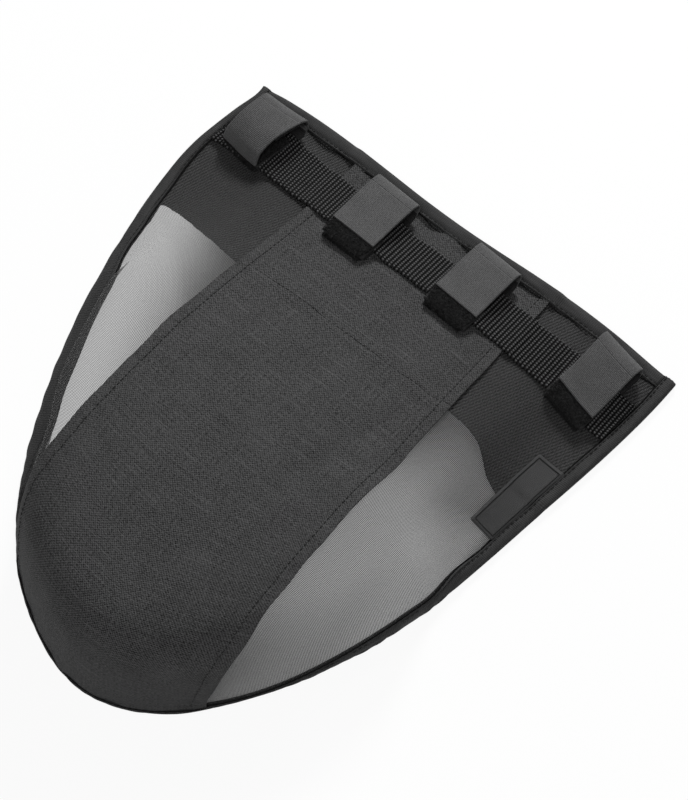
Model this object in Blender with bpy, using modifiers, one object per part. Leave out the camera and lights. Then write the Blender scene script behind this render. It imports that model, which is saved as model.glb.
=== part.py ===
"""Horse's nose guard: a domed canvas and mesh cover that hangs from a noseband by four hook-and-loop straps.

It lies on its rim with the straight top edge at +Y and the rounded tip at -Y.  Places on the cover are given as
u, the distance right of the centre line, and v, the distance from the top edge towards the tip.
"""

import math
from functools import lru_cache

import bmesh
import bpy
from mathutils import Vector

# Cover: the rim is half an ellipse in plan, and the crown rises from the top edge to its full height near the tip
TOP_WIDTH = 0.310
LENGTH = 0.348
CROWN_HEIGHT = 0.078
CROWN_FROM_TOP = 0.264
FLAT_TOP = 0.0104
RISE_ANGLE = math.radians(18.7)
CROWN_FULLNESS = 0.85
WALL_FULLNESS = 1.15
BRIM_FULLNESS = 0.40
RIM_ANGLE = math.radians(85)
BRIM_LENGTH = 0.070
STEEP_FROM_TOP = 0.174

# Canvas centre panel and what lies under it
PANEL_TOP_WIDTH = 0.140
PANEL_WIDTH = 0.150
PANEL_TIP_WIDTH = 0.134
PANEL_FULL_FROM_TOP = 0.174
PANEL_TAPER_FROM_TOP = 0.278
PANEL_TAPER_LENGTH = 0.035
LAP = 0.008
MESH_END = 0.005
FACING_DEPTH = 0.106
FACING_CORNER = 0.012

# Cloth thicknesses, and the clearance between layers
MESH_THICK = 0.0006
CANVAS_THICK = 0.0009
FACING_THICK = 0.0006
BINDING_THICK = 0.0008
LAYER_GAP = 0.0006
BUTT_GAP = 0.0004
LEVEL_RAMP = 0.006

# Binding tapes
TOP_BINDING_WIDTH = 0.008
RIM_BINDING_WIDTH = 0.010

# Webbing across the top
WEBBING_FROM_TOP = 0.023
WEBBING_WIDTH = 0.030
WEBBING_THICK = 0.0014
WEBBING_RAMP = 0.008

# Straps: each runs under the webbing, turns up at both sides of it and closes on itself on top
OUTER_STRAP_FROM_SIDE = 0.018
INNER_STRAP_SPACING = 0.072
STRAP_WIDTH = 0.030
STRAP_THICK = 0.0010
PILE_THICK = 0.0014
HOOK_THICK = 0.0008
PAD_INSET = 0.001
STRAP_BACK = 0.012
FOLD_LENGTH = 0.007
HINGE_HEIGHT = 0.0070
LOOP_CREST = 0.0185
FRONT_BULGE = 0.007
CLOSURE_LENGTH = 0.011
FLAP_SHORT = 0.0005

# Label patch by the right rim
LABEL_FROM_TOP = 0.086
LABEL_LENGTH = 0.058
LABEL_WIDTH = 0.018
LABEL_THICK = 0.0012

# Mesh density
PANEL_ROWS = 36
PANEL_COLUMNS = 16
SIDE_ROWS = 36
SIDE_COLUMNS = 6
FACING_ROWS = 8
FACING_COLUMNS = 24
RIM_STATIONS = 64
TOP_STATIONS = 36
WEBBING_STATIONS = 76
STRAP_COLUMNS = 3
ARC_STEPS = 64
NUDGE = 1e-4

HALF_TOP = TOP_WIDTH / 2
CROWN_SHARE = CROWN_FROM_TOP / LENGTH
FAN_POWER = 1 / (1 - CROWN_SHARE)
MESH_OUT = MESH_THICK / 2
CANVAS_MID = MESH_OUT + LAYER_GAP + CANVAS_THICK / 2
CANVAS_OUT = CANVAS_MID + CANVAS_THICK / 2
FACING_MID = -MESH_OUT - LAYER_GAP - FACING_THICK / 2
FACING_IN = FACING_MID - FACING_THICK / 2
EDGE_REACH = BUTT_GAP + BINDING_THICK
HALF_BINDING = LAYER_GAP + BINDING_THICK / 2
TIP_REACH = CANVAS_OUT + LAYER_GAP + BINDING_THICK
CENTRE_V = (LENGTH + TIP_REACH - EDGE_REACH) / 2
OUTER_STRAP = HALF_TOP - OUTER_STRAP_FROM_SIDE - STRAP_WIDTH / 2
STRAP_PLACES = (-OUTER_STRAP, -INNER_STRAP_SPACING / 2, INNER_STRAP_SPACING / 2, OUTER_STRAP)


def smooth(x):
    x = min(max(x, 0.0), 1.0)
    return x * x * (3 - 2 * x)


def crown_height(v):
    """Height of the crown line above the rim: flat under the top binding, then up at the rise angle."""
    run = CROWN_FROM_TOP - FLAT_TOP
    x = min(max((v - FLAT_TOP) / run, 0.0), 1.0)
    start = math.tan(RISE_ANGLE) * run / CROWN_HEIGHT
    return CROWN_HEIGHT * (smooth(x) + start * x * (1 - x) ** 2)


def inner_face(v):
    """Offset of the innermost cloth face: the facing near the top, and the mesh below it."""
    below = smooth((v - FACING_DEPTH) / LEVEL_RAMP - 0.3)
    return FACING_IN * (1 - below) - MESH_OUT * below


@lru_cache(maxsize=None)
def section(psi):
    """Cross-section from the crown line to the rim at rim angle psi: 0 is the right top corner, pi the left one.

    Returns the plan points at its two ends and the four Bezier heights and runs.  The rim stands on the ground.
    """
    share = math.sin(psi)
    spine_share = share - (1 - CROWN_SHARE) * math.copysign(abs(share) ** FAN_POWER, share)
    spine = Vector((0, LENGTH * spine_share))
    rim = Vector((HALF_TOP * math.cos(psi), LENGTH * share))
    run = (rim - spine).length
    height = crown_height(spine.y)
    angle = RIM_ANGLE * smooth((rim.y - BRIM_LENGTH) / (STEEP_FROM_TOP - BRIM_LENGTH))
    handle = WALL_FULLNESS * height * math.sin(angle) ** 2 + BRIM_FULLNESS * run * math.cos(angle) ** 2
    depth = LAYER_GAP + BINDING_THICK - inner_face(rim.y)
    stand = EDGE_REACH * math.sin(angle) + depth * math.cos(angle)
    runs = (0.0, CROWN_FULLNESS * run, run - handle * math.cos(angle), run)
    heights = (height, height, handle * math.sin(angle), 0.0)
    return spine, (rim - spine) / run, runs, [h + stand for h in heights]


def bezier(points, t):
    a, b, c, d = points
    s = 1 - t
    return a * s**3 + 3 * b * t * s * s + 3 * c * t * t * s + d * t**3


def cover(psi, t):
    """Point of the cover's middle surface: t is 0 on the crown line and 1 at the rim."""
    spine, out, runs, heights = section(psi)
    plan = spine + out * bezier(runs, t)
    return Vector((plan.x, CENTRE_V - plan.y, bezier(heights, t)))


def normal(psi, t):
    along = cover(psi + NUDGE, t) - cover(psi - NUDGE, t)
    outward = cover(psi, min(t + NUDGE, 1)) - cover(psi, max(t - NUDGE, 0))
    found = along.cross(outward)
    return found.normalized() if found.length > NUDGE**3 else Vector((0, 0, 1))


def layer(psi, t, offset):
    return cover(psi, t) + normal(psi, t) * offset


@lru_cache(maxsize=None)
def arcs(psi):
    """Distances along the section from the crown line, one for each step of t."""
    points = [cover(psi, k / ARC_STEPS) for k in range(ARC_STEPS + 1)]
    total = [0.0]
    for a, b in zip(points, points[1:]):
        total.append(total[-1] + (b - a).length)
    return total


def t_at(psi, distance):
    """The t at this distance along the section from the crown line."""
    table = arcs(psi)
    for k in range(ARC_STEPS):
        if distance <= table[k + 1]:
            return (k + max(distance - table[k], 0) / (table[k + 1] - table[k])) / ARC_STEPS
    return 1.0


def arc_at(psi, t):
    table = arcs(psi)
    k = min(int(t * ARC_STEPS), ARC_STEPS - 1)
    return table[k] + (table[k + 1] - table[k]) * (t * ARC_STEPS - k)


def half_panel(v):
    """Half the width of the centre panel in plan."""
    width = PANEL_TOP_WIDTH + (PANEL_WIDTH - PANEL_TOP_WIDTH) * smooth(v / PANEL_FULL_FROM_TOP)
    taper = min(max((v - PANEL_TAPER_FROM_TOP) / PANEL_TAPER_LENGTH, 0), 1)
    return (width + (PANEL_TIP_WIDTH - width) * taper**2) / 2


def rise(low, high, target, value):
    """Bisects an increasing function for the place where it reaches the target."""
    for _ in range(48):
        middle = (low + high) / 2
        if value(middle) < target:
            low = middle
        else:
            high = middle
    return (low + high) / 2


def locate(u, v):
    """The (psi, t) of a place on the cover."""
    side = max(abs(u), 1e-7)

    def reach(psi):
        share = side / (HALF_TOP * math.cos(psi))
        spine = section(psi)[0].y
        return spine + share * (LENGTH * math.sin(psi) - spine)

    last = math.acos(min(side / HALF_TOP, 1.0))
    psi = rise(-0.05, last, v, reach)
    runs = section(psi)[2]
    t = rise(0.0, 1.0, side / (HALF_TOP * math.cos(psi)) * runs[3], lambda x: bezier(runs, x))
    return (psi if u >= 0 else math.pi - psi), t


def panel_arc(psi):
    """Distance along the section at which the centre panel's edge lies, or None past its end at the rim."""
    half = half_panel(LENGTH * math.sin(psi))
    rim = HALF_TOP * abs(math.cos(psi))
    if half >= rim:
        return None
    runs = section(psi)[2]
    return arc_at(psi, rise(0.0, 1.0, half / rim * runs[3], lambda x: bezier(runs, x)))


def outer_face(psi, t):
    """Offset of the outermost cloth face: canvas on the centre panel, and down to the mesh beside it."""
    edge = panel_arc(psi)
    if edge is None:
        return CANVAS_OUT
    beside = smooth((arc_at(psi, t) - edge) / LEVEL_RAMP - 0.3)
    return CANVAS_OUT * (1 - beside) + MESH_OUT * beside


def panel_end(left=0.0):
    """Rim angle at which this much of the section is left between the centre panel's edge and the rim."""

    def reach(psi):
        edge = panel_arc(psi)
        return 1.0 if edge is None else edge - arcs(psi)[-1]

    return rise(0.0, math.pi / 2, -left, reach)


def steps(first, last, count):
    return [first + (last - first) * k / count for k in range(count + 1)]


def mirrored(psi, right):
    return psi if right else math.pi - psi


def material(name, colour, roughness):
    made = bpy.data.materials.new(name)
    made.use_nodes = True
    shader = made.node_tree.nodes["Principled BSDF"]
    shader.inputs["Base Color"].default_value = (*colour, 1)
    shader.inputs["Roughness"].default_value = roughness
    shader.inputs["Metallic"].default_value = 0
    return made


def sheet(name, across, along, place, thickness, finish):
    """A sheet of cloth: a grid whose points place(across, along) puts on its middle surface, made thick."""
    columns, rows = len(across) - 1, len(along) - 1
    mesh = bpy.data.meshes.new(name)
    grid = bmesh.new()
    bmesh.ops.create_grid(grid, x_segments=columns, y_segments=rows, size=0.5)
    for vertex in grid.verts:
        column = round((vertex.co.x + 0.5) * columns)
        row = round((vertex.co.y + 0.5) * rows)
        vertex.co = place(across[column], along[row])
    grid.to_mesh(mesh)
    grid.free()
    mesh.shade_smooth()
    mesh.materials.append(finish)
    made = bpy.data.objects.new(name, mesh)
    parts.objects.link(made)
    solid = made.modifiers.new("thickness", "SOLIDIFY")
    solid.thickness = thickness
    solid.offset = 0
    solid.use_even_offset = True
    solid.use_quality_normals = True
    return made


def centre_panel():
    """Canvas from the top edge over the crown to the rim at the tip.  Its rows bend from straight to the rim's arc."""
    end = panel_end()
    end_half, end_v = HALF_TOP * math.cos(end), LENGTH * math.sin(end)
    crown = [cover(0.5 * math.pi, k / ARC_STEPS) for k in range(ARC_STEPS + 1)]
    wall = sum((b - a).length for a, b in zip(crown, crown[1:]))
    top = math.hypot(CROWN_FROM_TOP, CROWN_HEIGHT)

    def centre_v(share):
        distance = share * (top + wall)
        if distance < top:
            return CROWN_FROM_TOP * distance / top
        return CENTRE_V - cover(math.pi / 2, t_at(math.pi / 2, distance - top)).y

    def place(side, share):
        v = centre_v(share)
        bend = smooth((v - LENGTH / 2) / (LENGTH / 2)) if share < 1 else 1.0
        edge_v = v - bend * (LENGTH - end_v)
        u = side * (half_panel(edge_v) if share < 1 else end_half)
        arc = LENGTH * math.sqrt(1 - (side * end_half / HALF_TOP) ** 2)
        psi, t = locate(u, edge_v + bend * (arc - end_v))
        if share == 1:
            psi, t = math.acos(u / HALF_TOP), 1.0
        return layer(psi, t, CANVAS_MID)

    columns = [math.sin(k * 1.15) / math.sin(1.15) for k in steps(-1, 1, PANEL_COLUMNS)]
    sheet("centre_panel", columns, steps(0, 1, PANEL_ROWS), place, CANVAS_THICK, canvas)


def towards_rim(psi, start, share):
    """The t at a share of the way from this distance to the rim: 1 is at the binding's inner edge, and 2 at the rim."""
    whole = arcs(psi)[-1]
    bound = min(RIM_BINDING_WIDTH, (whole - start) / 2)
    if share < 1:
        return t_at(psi, start + (whole - bound - start) * share)
    return t_at(psi, whole - bound * (2 - share))


def mesh_panel(name, right):
    """Mesh from under the centre panel's edge down to the rim.  Its pointed end is cut off under the rim binding."""

    def place(share, angle):
        edge = panel_arc(angle)
        t = t_at(angle, edge - LAP) if share < 0 else towards_rim(angle, edge, share)
        return layer(mirrored(angle, right), t, 0)

    across = [-1.0] + steps(0, 1, SIDE_COLUMNS) + [1.5, 2.0]
    along = [0.0] + steps(math.asin(FLAT_TOP / LENGTH), panel_end(MESH_END), SIDE_ROWS)
    sheet(name, across if right else across[::-1], along, place, MESH_THICK, mesh_cloth)


def top_facing():
    """Lining behind the upper part of all three panels, with rounded lower corners."""

    def place(side, share):
        depth = FACING_DEPTH - FACING_CORNER * abs(side / 2) ** 8
        angle = math.asin(share * depth / LENGTH)
        return layer(mirrored(angle, side >= 0), towards_rim(angle, 0, abs(side)), FACING_MID)

    across = [-2.0, -1.5] + steps(-1, 1, FACING_COLUMNS) + [1.5, 2.0]
    along = [0.0] + steps(FLAT_TOP / FACING_DEPTH, 1, FACING_ROWS)
    sheet("top_facing", across, along, place, FACING_THICK, facing_cloth)


def top_binding():
    """Tape folded over the top edge, between the ends of the rim binding."""
    web = -BUTT_GAP - BINDING_THICK / 2
    half = HALF_TOP - RIM_BINDING_WIDTH - BUTT_GAP
    profile = [(TOP_BINDING_WIDTH, 1), (TOP_BINDING_WIDTH / 2, 1), (web, 1), (web, -1), (TOP_BINDING_WIDTH, -1)]

    def place(fold, u):
        v, side = profile[fold]
        psi, t = locate(u, max(v, 0))
        offset = outer_face(psi, t) + HALF_BINDING if side > 0 else FACING_IN - HALF_BINDING
        return layer(psi, t, offset) + Vector((0, max(-v, 0), 0))

    sheet("top_binding", range(len(profile)), steps(-half, half, TOP_STATIONS), place, BINDING_THICK, tape)


def rim_binding():
    """Tape folded over the rim, from the right top corner round the tip to the left one."""
    web = -BUTT_GAP - BINDING_THICK / 2
    width = RIM_BINDING_WIDTH
    profile = [(width, 1), (width / 2, 1), (web, 1), (web, -1), (width / 2, -1), (width, -1)]
    start = -math.asin(EDGE_REACH / LENGTH)

    def place(fold, psi):
        inset, side = profile[fold]
        t = t_at(psi, arcs(psi)[-1] - max(inset, 0))
        outward = (cover(psi, 1) - cover(psi, 1 - NUDGE)).normalized()
        clear = outer_face(psi, t) if side > 0 else inner_face(LENGTH * math.sin(psi))
        return layer(psi, t, clear + side * HALF_BINDING) + outward * max(-inset, 0)

    stations = steps(start, math.pi - start, RIM_STATIONS)
    sheet("rim_binding", range(len(profile)), stations, place, BINDING_THICK, tape)


def walk(u, v, distance):
    """The v reached by going this far along the cover towards the tip, at the same u."""
    count = 12
    for _ in range(count):
        climb = (cover(*locate(u, v + NUDGE)) - cover(*locate(u, v))).length / NUDGE
        v += distance / count / climb
    return v


def webbing():
    """Webbing from one rim binding to the other, raised where a strap passes under it."""
    back = math.asin(WEBBING_FROM_TOP / LENGTH)
    half = HALF_TOP * math.cos(back) - RIM_BINDING_WIDTH - 2 * BUTT_GAP
    lift = STRAP_THICK + LAYER_GAP

    def place(distance, u):
        v = walk(u, WEBBING_FROM_TOP, distance)
        u *= 1 - (1 - math.sqrt(1 - (v / LENGTH) ** 2)) * (abs(u) / half) ** 4
        psi, t = locate(u, v)
        near = min(abs(u - place_u) for place_u in STRAP_PLACES) - STRAP_WIDTH / 2
        bump = 1 - smooth((near - LAYER_GAP) / WEBBING_RAMP)
        return layer(psi, t, outer_face(psi, t) + LAYER_GAP + lift * bump + WEBBING_THICK / 2)

    across = steps(WEBBING_WIDTH, 0, 4)
    sheet("webbing", across, steps(-half, half, WEBBING_STATIONS), place, WEBBING_THICK, webbing_cloth)


def label_patch():
    """Blank rubber patch whose lower edge lies along the right rim binding."""
    first = math.asin(LABEL_FROM_TOP / LENGTH)
    last = first + LABEL_LENGTH / math.hypot(LENGTH * math.cos(first), HALF_TOP * math.sin(first))

    def place(inset, psi):
        t = t_at(psi, arcs(psi)[-1] - RIM_BINDING_WIDTH - 2 * BUTT_GAP - inset)
        return layer(psi, t, MESH_OUT + LAYER_GAP + LABEL_THICK / 2)

    sheet("label_patch", steps(LABEL_WIDTH, 0, 3), steps(first, last, 10), place, LABEL_THICK, rubber)


def ellipse(centre, radii, angles):
    return [(centre[0] + radii[0] * math.cos(a), centre[1] + radii[1] * math.sin(a)) for a in angles]


@lru_cache(maxsize=None)
def strap_line(u):
    """The v under the webbing's middle, and how much v one metre along the cover is worth there."""
    v = walk(u, WEBBING_FROM_TOP, WEBBING_WIDTH / 2)
    return v, NUDGE / (cover(*locate(u, v + NUDGE)) - cover(*locate(u, v))).length


def on_strap(u, back, up):
    """Point this far behind the webbing's middle and this far off the panels' outer face."""
    v, scale = strap_line(u)
    psi, t = locate(u, v - back * scale)
    return layer(psi, t, outer_face(psi, t) + up)


def strap(number, u):
    """One hook-and-loop strap.  Its profiles are lists of distances back from the webbing's middle and off the cloth."""
    low = LAYER_GAP + STRAP_THICK / 2
    over_webbing = low + STRAP_THICK + 2 * LAYER_GAP + WEBBING_THICK
    back = WEBBING_WIDTH / 2 + STRAP_BACK
    front = -WEBBING_WIDTH / 2 - LAYER_GAP
    closure = front + CLOSURE_LENGTH
    half_turn = (over_webbing - low) / 2
    middle = low + half_turn

    def tape_along(name, points, thickness, finish, inset, pivot=None):
        half = STRAP_WIDTH / 2 - inset
        shift = pivot.location if pivot else Vector()
        made = sheet(
            f"strap_{number}_{name}",
            steps(u - half, u + half, STRAP_COLUMNS),
            points,
            lambda x, p: on_strap(x, *p) - shift,
            thickness,
            finish,
        )
        made.parent = pivot

    # Lower tape: up to the fold at the back, under the webbing, and round its front edge to lie on top
    fold_top = HINGE_HEIGHT - BUTT_GAP / 2
    fold = ellipse((back - FOLD_LENGTH, fold_top), (FOLD_LENGTH, fold_top - low), steps(0, -math.pi / 2, 5))
    run = [(y, low) for y in steps(back - FOLD_LENGTH, front, 6)][1:-1]
    turn = ellipse((front, middle), (FRONT_BULGE, half_turn), steps(-math.pi / 2, -1.5 * math.pi, 8))
    tape_along("base", fold + run + turn + [(closure, over_webbing)], STRAP_THICK, strap_cloth, 0)

    # Pile on the outside of the front turn and on top of the lower tape
    grow = STRAP_THICK / 2 + LAYER_GAP + PILE_THICK / 2
    pile_top = over_webbing + grow
    pile = ellipse((front, middle), (FRONT_BULGE + grow, half_turn + grow), steps(-math.pi - 0.2, -1.5 * math.pi, 6))
    tape_along("loop_pad", pile + [(closure, pile_top)], PILE_THICK, pile_cloth, PAD_INSET)

    # Flap and its hook pad turn about the back of the fold
    pivot = bpy.data.objects.new(f"strap_{number}_hinge", None)
    parts.objects.link(pivot)
    pivot.location = on_strap(u, back + STRAP_THICK / 2, HINGE_HEIGHT)
    hook_mid = pile_top + PILE_THICK / 2 + LAYER_GAP + HOOK_THICK / 2
    flap_mid = hook_mid + HOOK_THICK / 2 + BUTT_GAP + STRAP_THICK / 2
    tip = front + FLAP_SHORT
    ends = ((back, HINGE_HEIGHT + BUTT_GAP / 2), (back, LOOP_CREST), (back / 4, LOOP_CREST), (closure, flap_mid))
    arch = [(bezier([p[0] for p in ends], t), bezier([p[1] for p in ends], t)) for t in steps(0, 1, 14)]
    flat = [(y, flap_mid) for y in steps(closure, tip, 3)][1:]
    tape_along("flap", arch + flat, STRAP_THICK, strap_cloth, 0, pivot)
    hooks = [(y, hook_mid) for y in steps(closure, tip + PAD_INSET, 3)]
    tape_along("hook_pad", hooks, HOOK_THICK, hook_cloth, PAD_INSET, pivot)


for old in list(bpy.data.objects):
    bpy.data.objects.remove(old)
parts = bpy.data.collections.new("nose_guard")
bpy.context.scene.collection.children.link(parts)

canvas = material("black canvas", (0.022, 0.022, 0.023), 0.9)
mesh_cloth = material("black mesh", (0.012, 0.012, 0.012), 0.7)
facing_cloth = material("black lining", (0.010, 0.010, 0.010), 0.7)
tape = material("binding tape", (0.012, 0.012, 0.013), 0.8)
webbing_cloth = material("ribbed webbing", (0.015, 0.015, 0.016), 0.6)
strap_cloth = material("strap tape", (0.045, 0.045, 0.046), 0.8)
pile_cloth = material("loop pile", (0.006, 0.006, 0.006), 1.0)
hook_cloth = material("hook tape", (0.010, 0.010, 0.010), 0.6)
rubber = material("label rubber", (0.015, 0.015, 0.016), 0.5)

centre_panel()
mesh_panel("mesh_panel_right", True)
mesh_panel("mesh_panel_left", False)
top_facing()
top_binding()
rim_binding()
webbing()
label_patch()
for index, strap_place in enumerate(STRAP_PLACES):
    strap(index + 1, strap_place)
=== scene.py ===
"""Looks of a horse's nose guard: a domed canvas and mesh cover with four straps, lying on its rim."""

import math

import bpy
import numpy as np
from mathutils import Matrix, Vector


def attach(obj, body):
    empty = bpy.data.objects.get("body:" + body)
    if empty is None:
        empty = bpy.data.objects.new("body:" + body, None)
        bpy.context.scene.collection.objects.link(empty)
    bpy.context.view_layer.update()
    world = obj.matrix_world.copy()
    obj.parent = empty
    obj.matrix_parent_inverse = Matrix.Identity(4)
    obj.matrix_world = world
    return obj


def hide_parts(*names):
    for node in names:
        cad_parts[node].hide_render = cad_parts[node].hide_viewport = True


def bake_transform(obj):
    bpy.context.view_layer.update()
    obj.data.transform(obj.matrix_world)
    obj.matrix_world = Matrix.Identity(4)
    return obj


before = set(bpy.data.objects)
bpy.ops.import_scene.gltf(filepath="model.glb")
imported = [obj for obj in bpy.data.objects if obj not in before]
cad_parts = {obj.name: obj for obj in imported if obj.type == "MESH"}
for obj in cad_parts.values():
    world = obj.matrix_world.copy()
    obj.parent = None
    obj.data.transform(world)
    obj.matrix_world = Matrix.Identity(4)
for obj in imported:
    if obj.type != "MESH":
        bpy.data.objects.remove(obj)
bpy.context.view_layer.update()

# Cover, as in the solids
HALF_TOP = 0.155
LENGTH = 0.348
CROWN_HEIGHT = 0.078
CROWN_FROM_TOP = 0.264
FLAT_TOP = 0.0104
RISE_ANGLE = math.radians(18.7)
CROWN_FULLNESS = 0.85
WALL_FULLNESS = 1.15
BRIM_FULLNESS = 0.40
RIM_ANGLE = math.radians(85)
BRIM_LENGTH = 0.070
STEEP_FROM_TOP = 0.174
CENTRE_V = 0.175

# Panels and layers
PANEL_TOP_HALF = 0.070
PANEL_HALF = 0.075
PANEL_TIP_HALF = 0.067
PANEL_FULL_FROM_TOP = 0.174
PANEL_TAPER_FROM_TOP = 0.278
PANEL_TAPER_LENGTH = 0.035
PANEL_RUN = 0.40
LAP = 0.008
FACING_DEPTH = 0.106
MESH_OUT = 0.0003
CANVAS_MID = 0.00135
CANVAS_OUT = 0.0018
CANVAS_THICK = 0.0009
FACING_MID = -0.0012
FACING_IN = -0.0015
FACING_THICK = 0.0005
LEVEL_RAMP = 0.006
LEVEL_START = 0.3
LAYER_GAP = 0.0006
TAPE = 0.0008
EDGE_REACH = 0.0012

# Hem, cross seam and folds of the canvas
HEM = 0.0078
HEM_STITCH = 0.0066
HEM_HEIGHT = 0.00055
HEM_STEP = 0.0012
HEM_EASE = 1.06
HEM_GROOVE = 0.00035
HEM_GROOVE_WIDTH = 0.0009
HEM_PUCKER = 0.00022
HEM_PUCKER_REACH = 0.006
CROSS_SEAM = 0.1058
SEAM_START = -0.88
SEAM_WAVE = 0.0007
SEAM_BEND = 0.0036
SEAM_DEPTH = 0.0004
SEAM_WIDTH = 0.0011
EDGE_WAVE = 0.006
FOLD_HEIGHT = 0.0005
CORNER_DROP = 0.0009

# Wrinkles along the top edge: height, middle from the top, reach, slant, seed and wavelength
PUCKERS = (
    (0.0009, 0.012, 0.020, 0.35, 15, 0.030),
    (0.0006, 0.0, 0.06, -0.8, 16, 0.05),
)
# Rise of the net between its seams, how much it varies, and how far from a seam it is whole
NET_RISE = 0.0004
NET_VARIES = 0.0007
NET_EASE = 0.025
# Depth of the lining's left half at the middle, with its loss, bend and extra end towards the left
LEFT_DEPTH = 0.1165
LEFT_LOSS = 0.030
LEFT_BEND = 0.0075
LEFT_END = 0.0055
# Depth of the lining's right half at the middle, and its gain towards the right
RIGHT_DEPTH = 0.104
RIGHT_GAIN = 0.0165

# Bindings, with the stitch line's share of the width and of the thickness
TOP_BINDING_WIDTH = 0.008
RIM_BINDING_WIDTH = 0.010
RIGHT_CORNER_TAPE = 0.0062
LEFT_CORNER_TAPE = 0.0046
TAPE_CLEAR = 0.0004
TURNED_TAPE = 0.0012
RIM_PUFF = 0.0005
TOP_PUFF = 0.0004
TURNED_FULLNESS = 0.45
SEWN_SHARE = 0.35
RIM_SEAM_CLEAR = 0.0005
TOP_SEAM_CLEAR = 0.0011
STITCH_INSET = 0.84
STITCH_LEVEL = 0.45
# Outline of a folded tape from its sewn edge to its fold, in shares of its width and of its thickness
BEAD_INSETS = (1.0, 0.97, 0.9, STITCH_INSET, 0.78, 0.6, 0.4, 0.2, 0.06, 0.0)
BEAD_HEIGHTS = (0.25, 0.75, 0.8, STITCH_LEVEL, 0.7, 1.0, 1.05, 1.0, 0.85, 0.55)
BEAD_FOLD = (0.7, 0.35)
# Degrees from the top corner, with lengths: where the rim tape widens, and turns under at the left and right
TAPE_WIDENS = (5, 22)
LEFT_TURNS = (44, 18)
RIGHT_TURNS = (35, 23)

# Thread
STITCH_SINK = 0.0001
THREAD_LIFT = 0.0002
THREAD_SIDES = 6
CROSS_THREAD = {"pitch": 0.0030, "length": 0.0033, "width": 0.0005, "height": 0.0002}
# Seam thread beside the tapes, dark and unbroken: a seam with the shade of the gap between tape and cloth
# painted into it
SEAM_SHADE_THREAD = {"pitch": 0.0040, "length": 0.0048, "height": 0.0003}

# Webbing, and how far it lies off its line: everywhere, forward at the last strap and back at the first
WEBBING_FROM_TOP = 0.023
WEBBING_WIDTH = 0.030
WEBBING_THICK = 0.0014
WEBBING_RAMP = 0.008
RIB_PITCH = 0.0024
RIB_HEIGHT = 0.0015
KNOT_PITCH = 0.0018
WEBBING_LIE = 0.0012
WEBBING_FORWARD = 0.0022
WEBBING_BACK = 0.0080

# Straps
STRAP_WIDTH = 0.030
STRAP_THICK = 0.0010
STRAP_COLUMNS = 33
PILE_THICK = 0.0014
PILE_WIDTH = 0.029
PILE_CLEAR = 0.0002
PILE_PINCH = 0.13
PILE_LUMPS = 0.0004
HOOK_THICK = 0.0008
HOOK_WIDTH = 0.0294
HOOK_DEPTH = 0.0010
INNER_WIDTH = 0.0292
INNER_DEPTH = 0.0030
LINING_WIDTH = 0.0296
LINING_THICK = 0.0005
LINING_DEPTH = 0.0008
STRAP_BACK = 0.012
STRAP_CLEAR = 0.0008
SLOPE_CLEAR = 0.001
FOLD_LENGTH = 0.007
HINGE_HEIGHT = 0.0070
LOOP_CREST = 0.0162
CLOSURE_LENGTHS = (0.022, 0.011, 0.011, 0.011)
FLAP_FRONT = 0.0084
FOLD_SHOWN = 0.005
BENT_LENGTH = 0.0165
# Steps along the flap's line, and those at which the hook ply and the inner ply start and the inner ply ends
FLAP_STEPS = 90
HOOK_START = 9
INNER_START = 11
INNER_END = 56
STRAP_PLACES = (-0.122, -0.036, 0.036, 0.122)
# Lie of each strap: shift right, shift back, clockwise turn, and how much less its back end turns
STRAP_LIES = (
    (-0.0006, 0.0010, math.radians(9.5), math.radians(5.5)),
    (-0.0011, -0.0024, math.radians(3.6), 0.0),
    (-0.0021, -0.0003, math.radians(4.2), 0.0),
    (-0.0024, 0.0021, math.radians(8.7), 0.0),
)
# Form of each flap: extra height of its loop, how short it is, how far its front drops and how round it is
FLAP_FORMS = (
    (0.0032, 0.0064, 0.0018, 1.5),
    (-0.0003, 0.0005, 0.0, 0.35),
    (0.0, 0.0015, 0.0, 0.25),
    (0.0, 0.0025, 0.0, 0.1),
)
# How far back each strap's front roll lies, and how far it bulges
FRONT_ROLLS = ((0.0090, 0.0010), (0.0, 0.0068), (0.0, 0.0070), (0.0008, 0.0062))
# Fuzz of each pile pad: how many loops, and their lengths and half widths
FUZZ_COUNT = 4600
FUZZ_LENGTHS = (0.0009, 0.0025)
FUZZ_WIDTHS = (0.00012, 0.00022)

# Label, with the grid it is made of and the moulded line round it
LABEL_FROM_TOP = 0.086
LABEL_LENGTH = 0.058
LABEL_WIDTH = 0.018
LABEL_THICK = 0.0012
LABEL_INSET = 0.0071
LABEL_CLEAR = 0.0002
LABEL_PSI = math.radians(20)
LABEL_REACH = math.radians(9)
LABEL_FLAT = 0.70
LABEL_ROWS = 90
LABEL_COLUMNS = 40
EDGE_ROUND = 0.0008
EDGE_SINK = 0.0006
BORDER_STEPS = 3
BORDER_HALF = 0.0004
BORDER_HEIGHT = 0.00025

# How the soft cover lies, out of symmetry: (place, shift, reach) of each pull, and the top edge's ripple
PULLS = (
    ((-0.155, 0.175), (0.0075, -0.0007), 0.018),
    ((-0.155, 0.175), (0.0050, -0.0005), 0.050),
    ((-0.036, -0.164), (0.0018, 0.0048), 0.046),
    ((0.146, 0.060), (-0.0042, 0.0010), 0.075),
    ((0.155, 0.175), (0.0005, -0.0020), 0.035),
    ((-0.1557, 0.148), (0.0033, 0.0), 0.022),
    ((-0.137, 0.012), (-0.0012, 0.0), 0.065),
)
RIPPLE = 0.0014
RIPPLE_PITCH = 0.180
RIPPLE_PHASE = 0.095
RIPPLE_REACH = 0.040
# How far the left wall is drawn in, by which height, and (start, length) of where that comes and goes:
# to the left, from the top edge, towards the tip, and in shares of the crown's height
SPLAY = 0.0105
SPLAY_RISE = 0.015
SPLAY_LEFT = (0.03, 0.05)
SPLAY_FROM_TOP = (0.105, 0.07)
SPLAY_TO_TIP = (0.25, 0.06)
SPLAY_END = (0.54, 0.44)
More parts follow.
